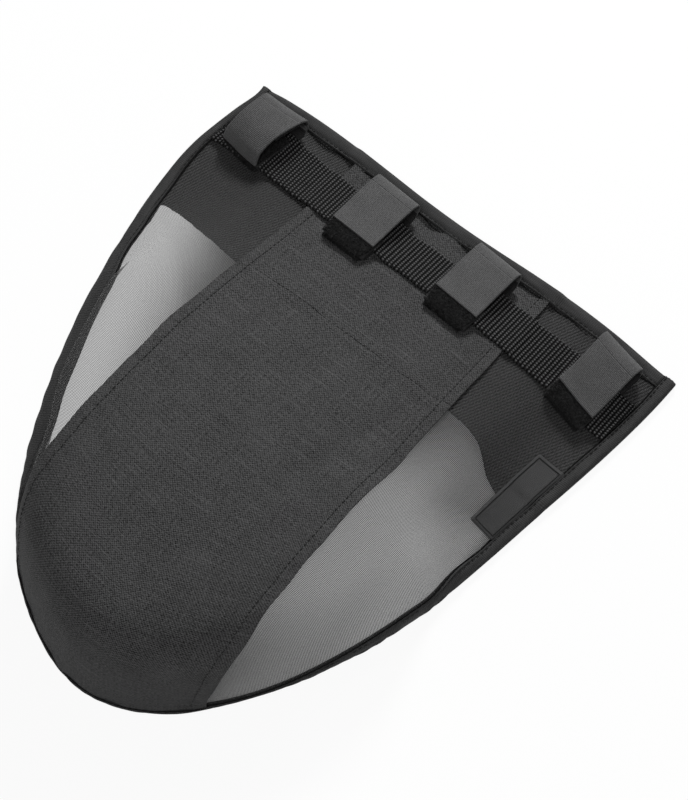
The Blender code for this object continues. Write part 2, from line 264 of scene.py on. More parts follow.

# Painted light and shade on the ground inside the rim, by place in shares of the rim's size: (low, high,
# white at low, white at high)
PAINTED_LIGHT_LEFT = (0.64, 0.91, 0.04, 0.86)
PAINTED_LIGHT_TIP = (-0.95, -0.6, 0.09, 0.41)
PAINTED_LIGHT_TOP = (-0.45, -0.28, 1.0, 0.1)
PAINTED_LIGHT_RIM = (0.78, 0.95, 1.0, 0.53)
PAINTED_LIGHT_MIDDLE = (-0.2, 0.2, 1.0, 0.0)
GROUND_EDGE = 0.995
GROUND_START = -0.22
GROUND_WHITE = 0.9
# Shade on the ground beside the label: its place, and (near, far, white near, white far)
SHADE_PLACE = (0.117, 0.040, 0)
SHADE = (0.008, 0.042, 0.25, 1.0)

# Light and camera: each lamp has a name, a place, a size and a power
FLOOR_SIZE = 8
FLOOR_DROP = 0.0004
WORLD_STRENGTH = 0.16
LAMPS = (("key", (-0.68, 1.80, 1.26), 0.6, 44), ("fill", (0.35, -0.7, 2.1), 1.4, 24))
CAMERA_ELEVATION = math.radians(68.47)
CAMERA_TURN = math.radians(38.38)
CAMERA_TARGET = Vector((0.02003, CENTRE_V - 0.13169, 0.022))
CAMERA_DISTANCE = 2.2
CAMERA_LENS = 177.66
CAMERA_SENSOR = 36

CROWN_SHARE = CROWN_FROM_TOP / LENGTH
FAN_POWER = 1 / (1 - CROWN_SHARE)
RISE_RUN = CROWN_FROM_TOP - FLAT_TOP
RISE_START = math.tan(RISE_ANGLE) * RISE_RUN / CROWN_HEIGHT
NUDGE = 1e-4


def smooth(x, start=0.0, length=1.0):
    """A soft step from 0 to 1 that begins at start and takes this length."""
    x = np.clip((x - start) / length, 0, 1)
    return x * x * (3 - 2 * x)


def bell(x, width):
    return np.exp(-((x / width) ** 2))


def pair(one, other):
    return np.broadcast_arrays(np.asarray(one, float), np.asarray(other, float))


def distances(points, axis=0):
    """Distances from the first point along a line, or with axis 1 along each row of a grid."""
    steps = np.linalg.norm(np.diff(points, axis=axis), axis=-1)
    start = np.zeros_like(np.take(steps, [0], axis=axis))
    return np.concatenate([start, np.cumsum(steps, axis=axis)], axis=axis)


def waves(x, seed, wavelength, count=5):
    """A smooth random line along x, about -1 to 1, with bumps of about this wavelength."""
    rng = np.random.default_rng(seed)
    total = np.zeros_like(np.asarray(x, float))
    for _ in range(count):
        total += np.sin(2 * np.pi * x / (wavelength * rng.uniform(0.6, 1.8)) + rng.uniform(0, 7))
    return total / math.sqrt(count) / 1.2


# The cover's middle surface: psi is the rim angle from the right top corner, and t runs from crown to rim


def beside_label(psi):
    """1 where the stiff label holds the cloth flat, and 0 away from it."""
    return smooth(1.6 - np.abs(psi - LABEL_PSI) / LABEL_REACH)


def inner_face(v):
    below = smooth((v - FACING_DEPTH) / LEVEL_RAMP - LEVEL_START)
    return FACING_IN * (1 - below) - MESH_OUT * below


def crown(share):
    """Where the sections that meet the rim at this share of its length leave the crown, and its height."""
    spine = LENGTH * (share - (1 - CROWN_SHARE) * np.sign(share) * np.abs(share) ** FAN_POWER)
    x = np.clip((spine - FLAT_TOP) / RISE_RUN, 0, 1)
    return spine, CROWN_HEIGHT * (smooth(x) + RISE_START * x * (1 - x) ** 2)


def section(psi):
    spine, height = crown(np.sin(psi))
    rim_u, rim_v = HALF_TOP * np.cos(psi), LENGTH * np.sin(psi)
    run = np.hypot(rim_u, rim_v - spine)
    angle = RIM_ANGLE * smooth((rim_v - BRIM_LENGTH) / (STEEP_FROM_TOP - BRIM_LENGTH))
    angle = angle * (1 - LABEL_FLAT * beside_label(psi))
    handle = WALL_FULLNESS * height * np.sin(angle) ** 2 + BRIM_FULLNESS * run * np.cos(angle) ** 2
    depth = LAYER_GAP + TAPE - inner_face(rim_v)
    stand = EDGE_REACH * np.sin(angle) + depth * np.cos(angle)
    return spine, rim_u, rim_v, run, height, angle, handle, stand


def run_share(psi, t, known=None):
    run, angle, handle = [(known or section(psi))[k] for k in (3, 5, 6)]
    s = 1 - t
    return 3 * CROWN_FULLNESS * t * s * s + 3 * (1 - handle * np.cos(angle) / run) * t * t * s + t**3


def cover(psi, t):
    psi, t = pair(psi, t)
    known = section(psi)
    spine, rim_u, rim_v, run, height, angle, handle, stand = known
    share = run_share(psi, t, known)
    s = 1 - t
    z = height * (s**3 + 3 * t * s * s) + 3 * handle * np.sin(angle) * t * t * s + stand
    return np.stack([rim_u * share, CENTRE_V - spine - (rim_v - spine) * share, z], -1)


def unit(a):
    return a / np.maximum(np.linalg.norm(a, axis=-1, keepdims=True), 1e-12)


def normal(psi, t):
    psi, t = pair(psi, t)
    along = cover(psi + NUDGE, t) - cover(psi - NUDGE, t)
    outward = cover(psi, np.minimum(t + NUDGE, 1)) - cover(psi, np.maximum(t - NUDGE, 0))
    found = np.cross(along, outward)
    flat = np.linalg.norm(found, axis=-1, keepdims=True) < NUDGE**3
    return unit(np.where(flat, [0.0, 0.0, 1.0], found))


def layer(psi, t, offset):
    return cover(psi, t) + normal(psi, t) * np.asarray(offset)[..., None]


def bisect(low, high, target, value):
    for _ in range(32):
        middle = (low + high) / 2
        below = value(middle) < target
        low, high = np.where(below, middle, low), np.where(below, high, middle)
    return (low + high) / 2


def locate(u, v):
    """The (psi, t) of places at u, right of the centre line, and v, from the top edge towards the tip."""
    u, v = pair(u, v)
    side = np.maximum(np.abs(u), 1e-7)

    def reach(psi):
        spine, rim_u, rim_v = section(psi)[:3]
        return spine + side / rim_u * (rim_v - spine)

    psi = bisect(np.full_like(side, -0.05), np.arccos(np.minimum(side / HALF_TOP, 1)), v, reach)
    share = np.minimum(side / (HALF_TOP * np.cos(psi)), 1)
    psi = np.where(u >= 0, psi, np.pi - psi)
    known = section(psi)
    return psi, bisect(np.zeros_like(side), np.ones_like(side), share, lambda x: run_share(psi, x, known))


def arcs(psi):
    """Distances along each section from the crown line, and the t of each."""
    t = np.linspace(0, 1, 129)
    return t, distances(cover(np.asarray(psi)[:, None], t[None, :]), axis=1)


def t_at(psi, distance):
    """The t at these distances, one row for each psi."""
    t, table = arcs(psi)
    return np.array([np.interp(d, row, t) for d, row in zip(distance, table)])


def half_panel(v):
    width = PANEL_TOP_HALF + (PANEL_HALF - PANEL_TOP_HALF) * smooth(v / PANEL_FULL_FROM_TOP)
    taper = np.clip((v - PANEL_TAPER_FROM_TOP) / PANEL_TAPER_LENGTH, 0, 1)
    return width + (PANEL_TIP_HALF - width) * taper**2


def panel_edge_t(psi):
    """The t at which the centre panel's edge lies, or 1 past its end at the rim."""
    rim = HALF_TOP * np.abs(np.cos(psi))
    share = np.minimum(half_panel(LENGTH * np.sin(psi)) / np.maximum(rim, 1e-9), 1)
    known = section(psi)
    return bisect(np.zeros_like(share), np.ones_like(share), share, lambda x: run_share(psi, x, known))


def outer_face(psi, t):
    """Offset of the outermost cloth face: canvas on the centre panel, and down to the mesh beside it."""
    psi, t = np.broadcast_arrays(psi, t)
    edge = panel_edge_t(psi)
    beside = np.linalg.norm(cover(psi, t) - cover(psi, edge), axis=-1) * np.sign(t - edge)
    share = smooth(beside / LEVEL_RAMP - LEVEL_START)
    return CANVAS_OUT * (1 - share) + MESH_OUT * share


END_PSI = float(bisect(np.zeros(1), np.full(1, np.pi / 2), 0.0,
                       lambda p: half_panel(LENGTH * np.sin(p)) - HALF_TOP * np.cos(p))[0])


# How the cover lies


def splayed(points):
    """The left wall, drawn in just above its rim, so that the rim tape turns up to the light."""
    x, y, z = np.moveaxis(points, -1, 0)
    v = CENTRE_V - y
    outward = unit(np.stack([x / HALF_TOP**2, -v / LENGTH**2], -1))
    where = smooth(-x, *SPLAY_LEFT) * smooth(v, *SPLAY_FROM_TOP) * (1 - smooth(v, *SPLAY_TO_TIP))
    risen = z / np.maximum(crown(np.clip(v / LENGTH, 0, 1))[1], SPLAY_RISE)
    draw = SPLAY * where * smooth(z / SPLAY_RISE) * (1 - smooth(risen, *SPLAY_END))
    moved = points.copy()
    moved[..., :2] -= draw[..., None] * outward
    return moved


def settle(points):
    """How the soft cover lies: the solids' shape, pulled a little out of symmetry."""
    plan = points[..., :2]
    moved = splayed(points)
    for place, shift, reach in PULLS:
        share = np.exp(-((plan - np.array(place)) ** 2).sum(-1) / reach**2)
        moved[..., :2] += share[..., None] * np.array(shift)
    from_top = CENTRE_V - plan[..., 1]
    ripple = RIPPLE * (np.cos(2 * np.pi * (plan[..., 0] + RIPPLE_PHASE) / RIPPLE_PITCH) - 0.4)
    moved[..., 1] += ripple * bell(from_top, RIPPLE_REACH)
    return moved


# Meshes


def build(name, points, faces, finish, uv, body="cover", stands_for=(), slot=None):
    mesh = bpy.data.meshes.new(name)
    mesh.from_pydata(points.reshape(-1, 3).tolist(), [], faces.tolist())
    mesh.update()
    layer_uv = mesh.uv_layers.new(name="UVMap")
    loops = np.zeros(len(mesh.loops), np.int32)
    mesh.loops.foreach_get("vertex_index", loops)
    layer_uv.data.foreach_set("uv", uv.reshape(-1, 2)[loops].astype(np.float32).ravel())
    mesh.shade_smooth()
    mesh.materials.append(finish)
    piece = bpy.data.objects.new(name, mesh)
    bpy.context.scene.collection.objects.link(piece)
    if body:
        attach(piece, body)
    if stands_for:
        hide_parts(*stands_for)
    return piece


def grid_faces(rows, columns, start=0, around=False, flip=False):
    """Quads of a grid of points, row by row.  With around, the last column joins the first."""
    index = start + np.arange(rows * columns).reshape(rows, columns)
    if around:
        index = np.concatenate([index, index[:, :1]], axis=1)
    quads = np.stack([index[:-1, :-1], index[:-1, 1:], index[1:, 1:], index[1:, :-1]], -1).reshape(-1, 4)
    return quads[:, ::-1] if flip else quads


def grid_normals(points):
    return unit(np.cross(np.gradient(points, axis=1), np.gradient(points, axis=0)))


def edge_loop(grid):
    return np.concatenate([grid[0], grid[1:, -1], grid[-1, -2::-1], grid[-2:0:-1, 0]])


def slab_faces(rows, columns, flip=False):
    """Faces between two grids of points: the upper one, the lower one and the band round their edges."""
    top = grid_faces(rows, columns, flip=not flip)
    bottom = grid_faces(rows, columns, rows * columns, flip=flip)
    edge = edge_loop(np.arange(rows * columns).reshape(rows, columns))
    after = np.roll(edge, -1)
    band = np.stack([edge, after, after + rows * columns, edge + rows * columns], -1)
    return np.concatenate([top, bottom, band[:, ::-1] if flip else band])


def measured_uv(points):
    """Distances along the rows and columns, in metres, so that a weave keeps its scale."""
    middle = points.shape[1] // 2
    across = distances(points, axis=1)
    across = across - across[:, [middle]]
    along = distances(points[:, middle])
    return np.stack([across, np.broadcast_to(along[:, None], across.shape)], -1)


def cloth(name, points, thick, finish, up=None, **kinds):
    """A sheet of cloth of this thickness about a grid of points, with closed edges that are shaded flat."""
    rows, columns = points.shape[:2]
    out = grid_normals(points)
    flip = bool(up is not None and (out * up).sum() < 0)
    if flip:
        out = -out
    uv = measured_uv(points)
    both = np.stack([points + out * thick / 2, points - out * thick / 2])
    faces = slab_faces(rows, columns, flip)
    piece = build(name, settle(both), faces, finish, np.stack([uv, uv]), **kinds)
    broad = 2 * (rows - 1) * (columns - 1)
    piece.data.polygons.foreach_set("use_smooth", np.arange(len(faces)) < broad)
    return piece


def thin(name, points, finish, **kinds):
    """A sheet with no thickness, for net that shows what lies behind it."""
    faces = grid_faces(*points.shape[:2], flip=True)
    return build(name, settle(points), faces, finish, measured_uv(points), **kinds)


def cut(points):
    """Settles the points of a sheet, sewn taut between its tapes, and does nothing more with them."""
    points = settle(points)


def tube(name, rings, finish, **kinds):
    """A closed form through rings of points, with its two ends filled."""
    rows, columns = rings.shape[:2]
    faces = grid_faces(rows, columns, around=True)
    first, last = np.arange(columns), (rows - 1) * columns + np.arange(columns)
    ends = [(first[k], first[-1 - k], first[-2 - k], first[k + 1]) for k in range(columns // 2 - 1)]
    ends += [(last[k + 1], last[-2 - k], last[-1 - k], last[k]) for k in range(columns // 2 - 1)]
    faces = np.concatenate([faces, np.array(ends)])
    return build(name, settle(rings), faces, finish, measured_uv(rings), **kinds)


def stitches(name, path, up, finish, pitch=0.0034, length=0.0026, width=0.00065, height=0.0004):
    """A row of sewn stitches along a path: each is a short bead of thread whose ends dip into the cloth."""
    along = distances(path)
    count = int(along[-1] / pitch)
    middle = (np.arange(count) + 0.5) * along[-1] / count
    shape = np.array([-0.5, -0.4, -0.2, 0.0, 0.2, 0.4, 0.5])
    at = middle[:, None] + shape * length
    line = np.stack([np.interp(at, along, path[:, k]) for k in range(3)], -1)
    rise = unit(np.stack([np.interp(at, along, up[:, k]) for k in range(3)], -1))
    across = np.cross(unit(np.gradient(line, axis=1)), rise)
    angles = np.arange(THREAD_SIDES) * 2 * np.pi / THREAD_SIDES
    swell = np.sqrt(np.maximum(1 - (2 * shape) ** 4, 0.02))[:, None]
    bow = (height * (1 - (2 * shape) ** 2) - STITCH_SINK)[:, None]
    lift = (bow + swell * height * np.sin(angles))[None, :, :, None]
    spread = (swell * width / 2 * np.cos(angles))[None, :, :, None]
    rings = line[:, :, None] + rise[:, :, None] * lift + across[:, :, None] * spread
    first = np.array([[0, 1, 2, 3], [0, 3, 4, 5]])
    last = (len(shape) - 1) * THREAD_SIDES + first[:, ::-1]
    one = np.concatenate([grid_faces(len(shape), THREAD_SIDES, around=True), first, last])
    start = np.arange(count)[:, None, None] * len(shape) * THREAD_SIDES
    uv = np.zeros((*rings.shape[:3], 2))
    uv[..., 0] = at[:, :, None]
    uv[..., 1] = angles / 3000
    build(name, settle(rings), (start + one).reshape(-1, 4), finish, uv)


# Materials


class Finish:
    """A material made of nodes, with short ways to add them."""

    def __init__(self, name, roughness, sheen=0.0, specular=0.3):
        self.made = bpy.data.materials.new(name)
        self.made.use_nodes = True
        self.tree = self.made.node_tree
        self.shader = self.tree.nodes["Principled BSDF"]
        self.shader.inputs["Roughness"].default_value = roughness
        self.shader.inputs["Specular IOR Level"].default_value = specular
        self.shader.inputs["Sheen Weight"].default_value = sheen
        self.uv = self.tree.nodes.new("ShaderNodeUVMap").outputs["UV"]

    def add(self, kind, *sources, **settings):
        node = self.tree.nodes.new("ShaderNode" + kind)
        for key, value in settings.items():
            setattr(node, key, value)
        for slot, source in zip(node.inputs, sources):
            if isinstance(source, bpy.types.NodeSocket):
                self.tree.links.new(source, slot)
            elif source is not None:
                slot.default_value = source
        return node

    def math(self, operation, *sources):
        return self.add("Math", *sources, operation=operation).outputs[0]

    def scaled(self, x, y):
        return self.add("VectorMath", self.uv, (x, y, 0), operation="MULTIPLY").outputs[0]

    def noise(self, x, y, detail=2.0):
        """Noise with x and y bumps per metre, from 0 to 1."""
        node = self.add("TexNoise", self.scaled(x, y))
        node.inputs["Scale"].default_value = 1
        node.inputs["Detail"].default_value = detail
        return node.outputs["Fac"]

    def uneven(self, x, y, detail):
        return self.math("SUBTRACT", self.noise(x, y, detail), 0.5)

    def parts(self, x, y):
        return self.add("SeparateXYZ", self.scaled(x, y)).outputs

    def weave(self, x, y):
        """Threads over and under, this many per metre each way, from -1 to 1."""
        across, along = self.parts(2 * np.pi * x, 2 * np.pi * y)[:2]
        return self.math("MULTIPLY", self.math("SINE", across), self.math("SINE", along))

    def mixed(self, value, low, high, dark, light):
        """A colour from dark to light as the value goes from low to high."""
        node = self.add("ValToRGB", value)
        ramp = node.color_ramp.elements
        ramp[0].position, ramp[1].position = low, high
        ramp[0].color, ramp[1].color = (*dark, 1), (*light, 1)
        return node.outputs["Color"]

    def colour(self, socket):
        self.tree.links.new(socket, self.shader.inputs["Base Color"])

    def bump(self, height, distance):
        node = self.add("Bump")
        node.inputs["Strength"].default_value = 1
        node.inputs["Distance"].default_value = distance
        self.tree.links.new(height, node.inputs["Height"])
        self.tree.links.new(node.outputs["Normal"], self.shader.inputs["Normal"])


def grey(value):
    return (value, value, value * 1.01)


def woven(name, tone, spread, threads, roughness, depth=0.0002, specular=0.3, slubs=0.5, weave_share=0.38):
    """Plain weave: threads per metre each way, a little uneven, with rare long threads that stand out."""
    made = Finish(name, roughness, specular=specular)
    across = made.uneven(45, threads * 0.8, 0.0)
    along = made.uneven(threads * 0.8, 60, 0.0)
    bright = made.math("MAXIMUM", made.math("SUBTRACT", across, 0.17), 0.0)
    grain = made.uneven(threads * 0.55, threads * 1.25, 1.0)
    patch = made.uneven(40, 40, 2.0)
    value = made.math("MULTIPLY_ADD", made.weave(threads / 2, threads / 2), weave_share, 0.5)
    shares = ((grain, 1.65), (across, slubs), (bright, 3 * slubs), (along, 0.6 * slubs), (patch, 0.18))
    for part, share in shares:
        value = made.math("ADD", value, made.math("MULTIPLY", part, share))
    made.colour(made.mixed(value, 0.0, 1.0, grey(tone * (1 - spread)), grey(tone * (1 + spread))))
    made.bump(value, depth)
    return made.made


def net(name, tone, threads, cover_share, sharpness=0.9):
    """Fine net: square holes between threads.  cover_share is how much of it is thread."""
    made = Finish(name, 0.6, specular=0.35)
    across, along = made.parts(np.pi * threads, np.pi * threads)[:2]
    gap = made.math("MULTIPLY", made.math("ABSOLUTE", made.math("SINE", across)),
                    made.math("ABSOLUTE", made.math("SINE", along)))
    thread = made.add("Math", gap, -sharpness, 0.5 + sharpness * cover_share, operation="MULTIPLY_ADD",
                      use_clamp=True)
    made.tree.links.new(thread.outputs[0], made.shader.inputs["Alpha"])
    slant = made.math("ADD", across, made.math("MULTIPLY", along, 0.4))
    slope = made.math("SINE", made.math("MULTIPLY", slant, 0.9))
    value = made.math("MULTIPLY_ADD", slope, 0.62, made.noise(900, 900, 1.0))
    made.colour(made.mixed(value, 0.15, 0.85, grey(tone * 0.3), grey(tone * 1.7)))
    made.bump(gap, -0.0002)
    return made.made


def tape_finish(name, tone, spread, ribs, roughness, sheen=0.0, specular=0.3, blotch=0.35, grain=1400):
    """Narrow woven tape: fine ribs across it and a soft unevenness."""
    made = Finish(name, roughness, sheen, specular)
    wave = made.math("SINE", made.parts(2 * np.pi * ribs, 2 * np.pi * ribs)[1])
    rib = made.math("MULTIPLY_ADD", wave, 0.5, 0.5)
    fuzz = made.noise(grain, grain)
    patch = made.noise(90, 90, 3.0)
    value = made.math("MULTIPLY_ADD", fuzz, 0.8 - blotch, made.math("MULTIPLY", patch, blotch))
    value = made.math("MULTIPLY_ADD", rib, 0.2, value)
    made.colour(made.mixed(value, 0.25, 0.75, grey(tone * (1 - spread)), grey(tone * (1 + spread))))
    made.bump(made.math("ADD", rib, fuzz), 0.00015)
    return made.made


def webbing_look(name, tone):
    """Ribbed webbing, with a painted highlight on its knots and painted shade in the gaps between ribs."""
    made = Finish(name, 0.7, specular=0.15)
    across, along = made.parts(2 * np.pi / KNOT_PITCH, np.pi / RIB_PITCH)[:2]
    wave = made.math("SINE", along)
    turned = made.math("MULTIPLY", made.math("COSINE", across), made.math("SIGN", wave))
    knot = made.math("MULTIPLY_ADD", turned, 0.5, 0.5)
    fuzz = made.noise(1500, 1500)
    # Painted shade and highlight: near black in the gaps between ribs and bright on the knots, from 0.06 to 6
    # times the tone
    ridge = made.math("POWER", made.math("ABSOLUTE", wave), 2.2)
    value = made.math("MULTIPLY", ridge, made.math("MULTIPLY_ADD", knot, 0.78, 0.16))
    value = made.math("MULTIPLY", value, made.math("MULTIPLY_ADD", fuzz, 0.8, 0.6))
    made.colour(made.mixed(value, 0.16, 0.80, grey(tone * 0.06), grey(tone * 6.0)))
    made.bump(made.math("ADD", knot, fuzz), 0.0002)
    return made.made


canvas_finish = woven("canvas", 0.039, 0.95, 1150, 0.85, specular=0.25, slubs=0.35)
lining_finish = woven("lining", 0.015, 0.95, 640, 0.55, depth=0.0006, specular=0.42, weave_share=0.55)
net_finish = net("net", 0.034, 1150, 0.50)
binding_finish = tape_finish("binding tape", 0.026, 0.5, 900, 0.75)
webbing_finish = webbing_look("webbing", 0.0165)
strap_finish = tape_finish("strap tape", 0.060, 0.85, 1100, 0.7, sheen=0.08, blotch=0.15, grain=1300)
base_finish = tape_finish("strap back", 0.018, 0.6, 1100, 0.8)
hook_finish = tape_finish("hook tape", 0.008, 0.5, 800, 0.7)
pile_finish = tape_finish("pile", 0.015, 1.0, 700, 1.0, specular=0.1)
thread_finish = tape_finish("thread", 0.012, 0.3, 2500, 0.6)
# Near-black seam thread, with the shade of the gaps and creases it lies in painted into its colour
seam_and_gap_shade_finish = tape_finish("seam", 0.005, 0.4, 2500, 0.8, specular=0.1)
rubber_finish = tape_finish("rubber", 0.048, 0.2, 2500, 0.5, blotch=0.1)
border_finish = tape_finish("rubber border", 0.008, 0.2, 2500, 0.5, blotch=0.05)


# Panels


def panel_place(a, s):
    """(psi, t) on the centre panel: a is -1 to 1 across it, and s is 0 at the top edge and 1 at the rim."""
    end_half, end_v = HALF_TOP * math.cos(END_PSI), LENGTH * math.sin(END_PSI)
    t_line = np.linspace(0, 1, 257)
    wall_line = cover(np.pi / 2, t_line)
    wall = distances(wall_line)
    top = math.hypot(CROWN_FROM_TOP, CROWN_HEIGHT)
    distance = s * (top + wall[-1])
    v = np.where(distance < top, CROWN_FROM_TOP * distance / top,
                 CENTRE_V - np.interp(distance - top, wall, wall_line[:, 1]))
    bend = np.where(s < 1, smooth((v - LENGTH / 2) / (LENGTH / 2)), 1.0)
    edge_v = v - bend * (LENGTH - end_v)
    u = a * np.where(s < 1, half_panel(edge_v), end_half)
    arc = LENGTH * np.sqrt(1 - (a * end_half / HALF_TOP) ** 2)
    psi, t = locate(u, edge_v + bend * (arc - end_v))
    last = s >= 1
    psi = np.where(last, np.arccos(np.clip(u / HALF_TOP, -1, 1)), psi)
    return psi, np.where(last, 1.0, t)


def panel_points(a, s, offset):
    psi, t = panel_place(*np.broadcast_arrays(a, s))
    return layer(psi, t, np.broadcast_to(offset, psi.shape)), normal(psi, t)


def puckers(points):
    """Soft wrinkles of the cloth along the top edge, where tapes and straps pull it."""
    u, v = points[..., 0], CENTRE_V - points[..., 1]
    total = np.zeros_like(u)
    for height, middle, reach, slant, seed, wavelength in PUCKERS:
        total += height * bell(v - middle, reach) * waves(u + slant * v, seed, wavelength)
    return total


def facing_depth(across):
    """How deep the facing is, from -1 at its left end to 1 at its right: cut shorter at the left."""
    side = np.abs(across)
    left = LEFT_DEPTH - LEFT_LOSS * side + LEFT_BEND * side**2 + LEFT_END * smooth(side, 0.92, 0.08)
    right = RIGHT_DEPTH + RIGHT_GAIN * smooth(side, 0.34, 0.52)
    share = smooth(across / 0.5 + 0.5)
    ragged = 0.00025 * waves(across * HALF_TOP, 12, 0.003) + 0.0004 * waves(across * HALF_TOP, 13, 0.03)
    return left * (1 - share) + right * share + ragged


def cross_seam(a):
    """How far along the panel its cross seam runs: a little wavy, and bent back at the right hem."""
    return CROSS_SEAM + SEAM_WAVE * waves(a * PANEL_HALF, 17, 0.05) - SEAM_BEND * smooth(a, 0.80, 0.20)


def wavy_edge(a, s):
    """The panel's place across, with edges that are not quite straight."""
    return a * (1 + EDGE_WAVE * a**8 * waves(s * PANEL_RUN + 0.2 * np.sign(a), 18, 0.045))


def panel_relief(a, s):
    """Height of the folded hem along both edges, with its groove and pucker, the seam and the folds."""
    inside = PANEL_HALF * (1 - np.abs(a)) * HEM_EASE
    along = s * PANEL_RUN
    beside = inside - HEM_STITCH
    hem = HEM_HEIGHT * (1 - smooth((inside - HEM) / HEM_STEP + 0.5))
    groove = HEM_GROOVE * bell(beside, HEM_GROOVE_WIDTH)
    pucker = HEM_PUCKER * waves(along + 0.11 * np.sign(a), 3, 0.011) * bell(beside, HEM_PUCKER_REACH)
    seam = SEAM_DEPTH * bell(along - cross_seam(a), SEAM_WIDTH) * (a > SEAM_START)
    fold = FOLD_HEIGHT * waves(along + 0.3 * a, 5, 0.12) * waves(a * 0.08 + 0.1 * along, 6, 0.06)
    corner = CORNER_DROP * smooth(s, 0.88, 0.12) * smooth(np.abs(a), 0.7, 0.3)
    return hem - groove + pucker - seam + fold - corner


def make_canvas():
    a = np.sin(np.linspace(-1, 1, 121) * 1.2) / math.sin(1.2)
    across, along = np.meshgrid(a, np.linspace(0, 1, 281))
    points, out = panel_points(wavy_edge(across, along), along, CANVAS_MID)
    points = points + out * (panel_relief(across, along) + puckers(points))[..., None]
    canvas = cloth("canvas_panel", points, CANVAS_THICK, canvas_finish, up=out, stands_for=["centre_panel"],
                   slot="canvas")
    cut(points)

    s = np.linspace(0.006, 0.985, 500)
    for side, name in ((1, "right"), (-1, "left")):
        a = np.full_like(s, side * (1 - HEM_STITCH / PANEL_HALF / HEM_EASE))
        points, out = panel_points(wavy_edge(a, s), s, CANVAS_MID + CANVAS_THICK / 2)
        stitches(f"hem_stitches_{name}", points + out * panel_relief(a, s)[:, None], out, thread_finish)
    a = np.linspace(SEAM_START + 0.005, 0.985, 300)
    s = cross_seam(a) / PANEL_RUN
    points, out = panel_points(a, s, CANVAS_MID + SEAM_DEPTH)
    points = points + out * panel_relief(a, s)[:, None]
    # The cross seam's stitches overlap into one near-black line: real stitches, with the shade of their
    # crease painted in
    stitches("cross_stitches", points, out, seam_and_gap_shade_finish, **CROSS_THREAD)


def make_nets():
    rows = np.linspace(0, END_PSI - 0.004, 200)
    t, table = arcs(rows)
    edge = np.array([np.interp(x, t, row) for x, row in zip(panel_edge_t(rows), table)])[:, None]
    rim = table[:, -1:]
    distance = (edge - LAP) + (rim - edge + LAP) * np.linspace(0, 1, 70)
    places = t_at(rows, distance)
    beyond = np.minimum(distance - edge, rim - distance)
    for name, right in (("right", True), ("left", False)):
        psi = np.broadcast_to(rows[:, None], places.shape)
        psi = psi if right else np.pi - psi
        varied = NET_VARIES * waves(LENGTH * np.sin(psi) + 0.2 * right, 8 + right, 0.07)
        sag = (NET_RISE + varied) * smooth(beyond / NET_EASE)
        points = layer(psi, places, np.where(beyond > 0, sag, 0))
        points = points + normal(psi, places) * puckers(points)[..., None]
        if not right:
            points = points[:, ::-1]
        panel = thin(f"net_panel_{name}", points, net_finish, stands_for=[f"mesh_panel_{name}"], slot="mesh")
        cut(points)


def make_facing():
    across = np.linspace(-1, 1, 241)
    side, share = np.meshgrid(across, np.linspace(0, 1, 61))
    psi = np.arcsin(np.clip(share * facing_depth(across) / LENGTH, 0, 1))
    t = np.abs(side)
    points = layer(np.where(side >= 0, psi, np.pi - psi), t, np.full_like(t, FACING_MID))
    points[..., 2] += puckers(points)
    panel = cloth("facing_panel", points, FACING_THICK, lining_finish, up=np.array([0, 0, 1.0]),
                  stands_for=["top_facing"], slot="lining")
    cut(points)


# Bindings


def folded_tape(name, node, width, puff, place, outer, inner, swell, outward):
    """A tape folded round an edge of the cloth.

    place gives (psi, t) at distances from the edge, outer and inner are the offsets of the cloth's two faces,
    swell is how full the tape is at a share of its width, and outward points past the edge.
    """
    thick = TAPE + LAYER_GAP
    outline = [(inset, height * (thick + puff)) for inset, height in zip(BEAD_INSETS, BEAD_HEIGHTS)]
    outline += [(-EDGE_REACH * BEAD_FOLD[0], thick * BEAD_FOLD[1])]
    rings = []
    for outside, steps in ((True, outline), (False, outline[::-1])):
        for inset, height in steps:
            depth = np.where(inset > 0, inset * width, inset)
            psi, t = place(np.maximum(depth, 0))
            offset = outer(psi, t) + height * swell(inset) if outside else inner - min(height, thick)
            rings.append(layer(psi, t, offset) + outward * np.maximum(-depth, 0)[:, None])
    tube(name, np.stack(rings, 1), binding_finish, stands_for=[node], slot="tape")


def sewn_line(place, depth, lift):
    """A line at these distances from an edge, lifted off the cloth, and the way up along it."""
    psi, t = place(depth)
    return layer(psi, t, outer_face(psi, t) + lift), normal(psi, t)


def stitch_lift(puff):
    """How far above the cloth a tape's stitches lie."""
    return STITCH_LEVEL * (TAPE + LAYER_GAP + puff) + THREAD_LIFT


def rim_width(psi):
    """How much of the rim tape shows: little at the corners, all beside the mesh, next to none at the tip."""
    left = psi > np.pi / 2
    from_corner = np.degrees(np.minimum(psi, np.pi - psi))
    corner = np.where(left, LEFT_CORNER_TAPE, RIGHT_CORNER_TAPE)
    width = corner + (RIM_BINDING_WIDTH - corner) * smooth(from_corner, *TAPE_WIDENS)
    width = width + (LABEL_INSET - LABEL_CLEAR - width) * beside_label(psi)
    start, length = [np.where(left, *sides) for sides in zip(LEFT_TURNS, RIGHT_TURNS)]
    return width + (TURNED_TAPE - width) * smooth(from_corner, start, length)


def eased(values, count=25):
    """A line of values with its steps spread over this many places."""
    padded = np.pad(values, count // 2, mode="edge")
    return np.convolve(padded, np.hanning(count + 2)[1:-1] / np.hanning(count + 2).sum(), mode="valid")


